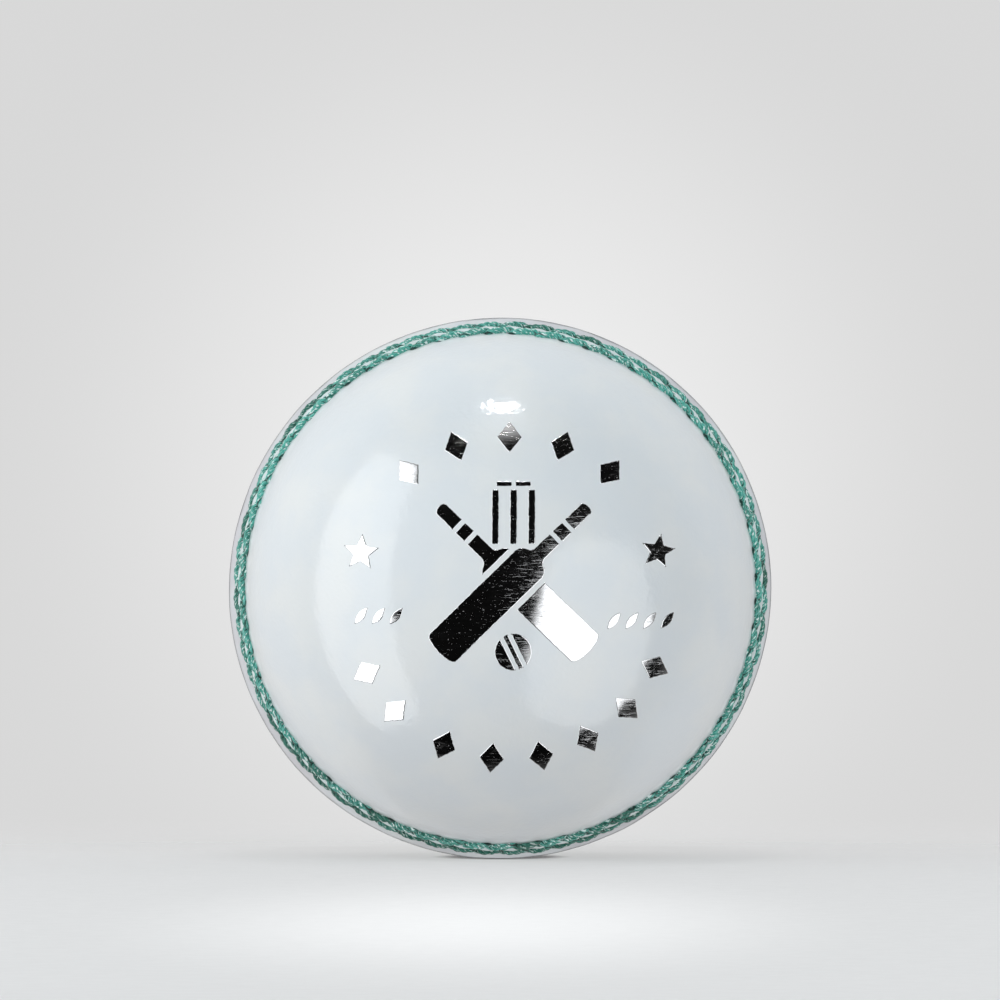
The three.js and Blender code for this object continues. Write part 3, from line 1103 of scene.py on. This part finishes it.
def softbox(name, azimuth, elevation, width, height, radiance, tint,
            edge=0.2, glossy=True, corner=6, ragged=0.0):
    """A glowing panel that faces the ball. width and height are the angles it fills, in degrees.
    edge: how much of it fades out. corner: the larger, the squarer. ragged: how broken its edge is."""
    half = [PANEL_DISTANCE * math.tan(math.radians(angle / 2)) for angle in (width, height)]
    corners = [(x * half[0], y * half[1], 0) for x, y in ((-1, -1), (1, -1), (1, 1), (-1, 1))]
    mesh = bpy.data.meshes.new(name)
    mesh.from_pydata(corners, [], [(0, 1, 2, 3)])
    material = bpy.data.materials.new(name)
    material.use_nodes = True
    n = Nodes(material.node_tree)
    place = n.add("TexCoord").node.outputs["Object"]
    split = n.add("SeparateXYZ", place).node
    powers = []
    for axis, reach in zip("XY", half):
        size = n.add("Math", split.outputs[axis], operation="ABSOLUTE")
        size = n.add("Math", size, reach, operation="DIVIDE")
        powers.append(n.add("Math", size, corner, operation="POWER"))
    away = n.add("Math", n.add("Math", *powers, operation="ADD"), 1 / corner, operation="POWER")
    if ragged:
        noise = n.add("TexNoise", place, None, 1 / RAG_SIZE, RAG_DETAIL).node.outputs["Fac"]
        rag = n.add("Math", noise, ragged, -0.5 * ragged, operation="MULTIPLY_ADD")
        away = n.add("Math", away, rag, operation="ADD")
    n.end("Emission", tint, n.ramp(away, 1 - edge, 1.0, radiance, 0.0))
    mesh.materials.append(material)
    panel = bpy.data.objects.new(name, mesh)
    towards = direction(azimuth, elevation)
    panel.location = towards * PANEL_DISTANCE
    panel.rotation_euler = towards.to_track_quat("Z", "Y").to_euler()
    panel.visible_camera = False
    panel.visible_shadow = False
    panel.visible_glossy = glossy
    bpy.context.scene.collection.objects.link(panel)


def make_floor():
    """A pale disc that fades out into the backdrop. Its glow from within is painted light, a pool brightest
    in the middle, and at the ball's foot it is painted dark as a contact shadow.
    """
    mesh = bpy.data.meshes.new("floor")
    rim = [(FLOOR_RADIUS * math.cos(a), FLOOR_RADIUS * math.sin(a), 0) for a in round_steps(96)]
    mesh.from_pydata(rim, [], [tuple(range(96))])
    m = Material("pale_floor", Roughness=0.7, Emission_Color=(1, 1, 1))
    m.put(m.shader, "Specular IOR Level", 0.1)
    spread = m.mapped(m.place, (1 / FLOOR_GLOW[0], 1 / FLOOR_GLOW[1], 1))
    glow = m.add("ShaderNodeVectorMath", {0: spread}, operation="LENGTH").outputs["Value"]
    foot = m.add("ShaderNodeVectorMath", {0: m.place, 1: (0, FLOOR_BACK, 0)}, operation="DISTANCE")
    # Painted shadow: round the ball's foot the floor is near black and does not glow.
    clear = m.ramp(foot.outputs["Value"], *CONTACT_SHADOW)
    m.put(m.shader, "Base Color", m.mix(clear, (0.02, 0.02, 0.02), (0.4, 0.4, 0.4)))
    # Painted light: the floor's emission is strongest in the middle of its glow.
    m.put(m.shader, "Emission Strength", m.product(clear, m.ramp(glow, 0.0, 1.0, 0.55, 0.36)))
    away = m.add("ShaderNodeVectorMath", {0: m.place}, operation="LENGTH").outputs["Value"]
    cloth = m.ramp(m.noise(3, detail=3), 0.3, 0.7, 0.98, 1.0)
    m.put(m.shader, "Alpha", m.product(cloth, m.ramp(away, FLOOR_FADE, FLOOR_RADIUS, 1.0, 0.0)))
    mesh.materials.append(m.material)
    floor = bpy.data.objects.new("floor", mesh)
    floor.location = (0, -FLOOR_BACK, FLOOR_HEIGHT)
    floor.visible_glossy = False
    floor.visible_diffuse = False
    bpy.context.scene.collection.objects.link(floor)


make_world()
make_floor()
softbox("left_softbox", -66, -1, 40, 104, 1.9, COOL, edge=0.1)
softbox("right_softbox", 42, -18, 54, 80, 1.55, COOL, edge=0.12, corner=3)
softbox("top_lamp", -3, 84, 12, 5.5, 24.0, WHITE, edge=0.12, corner=3, ragged=1.6)
softbox("top_glow", 0, 76, 30, 26, 0.8, WHITE, edge=1.0, corner=2)
softbox("key_fill", -12, 52, 70, 60, 1.38, CYAN, glossy=False)
softbox("front_fill", 26, 18, 60, 50, 1.08, COOL, glossy=False)
softbox("low_fill", -40, -30, 60, 55, 1.45, COOL, glossy=False)
softbox("right_fill", 55, 34, 50, 50, 0.6, BLUE, glossy=False)
softbox("back_fill", 180, 30, 80, 60, 0.8, COOL, glossy=False)

bpy.context.scene.view_settings.view_transform = "Standard"
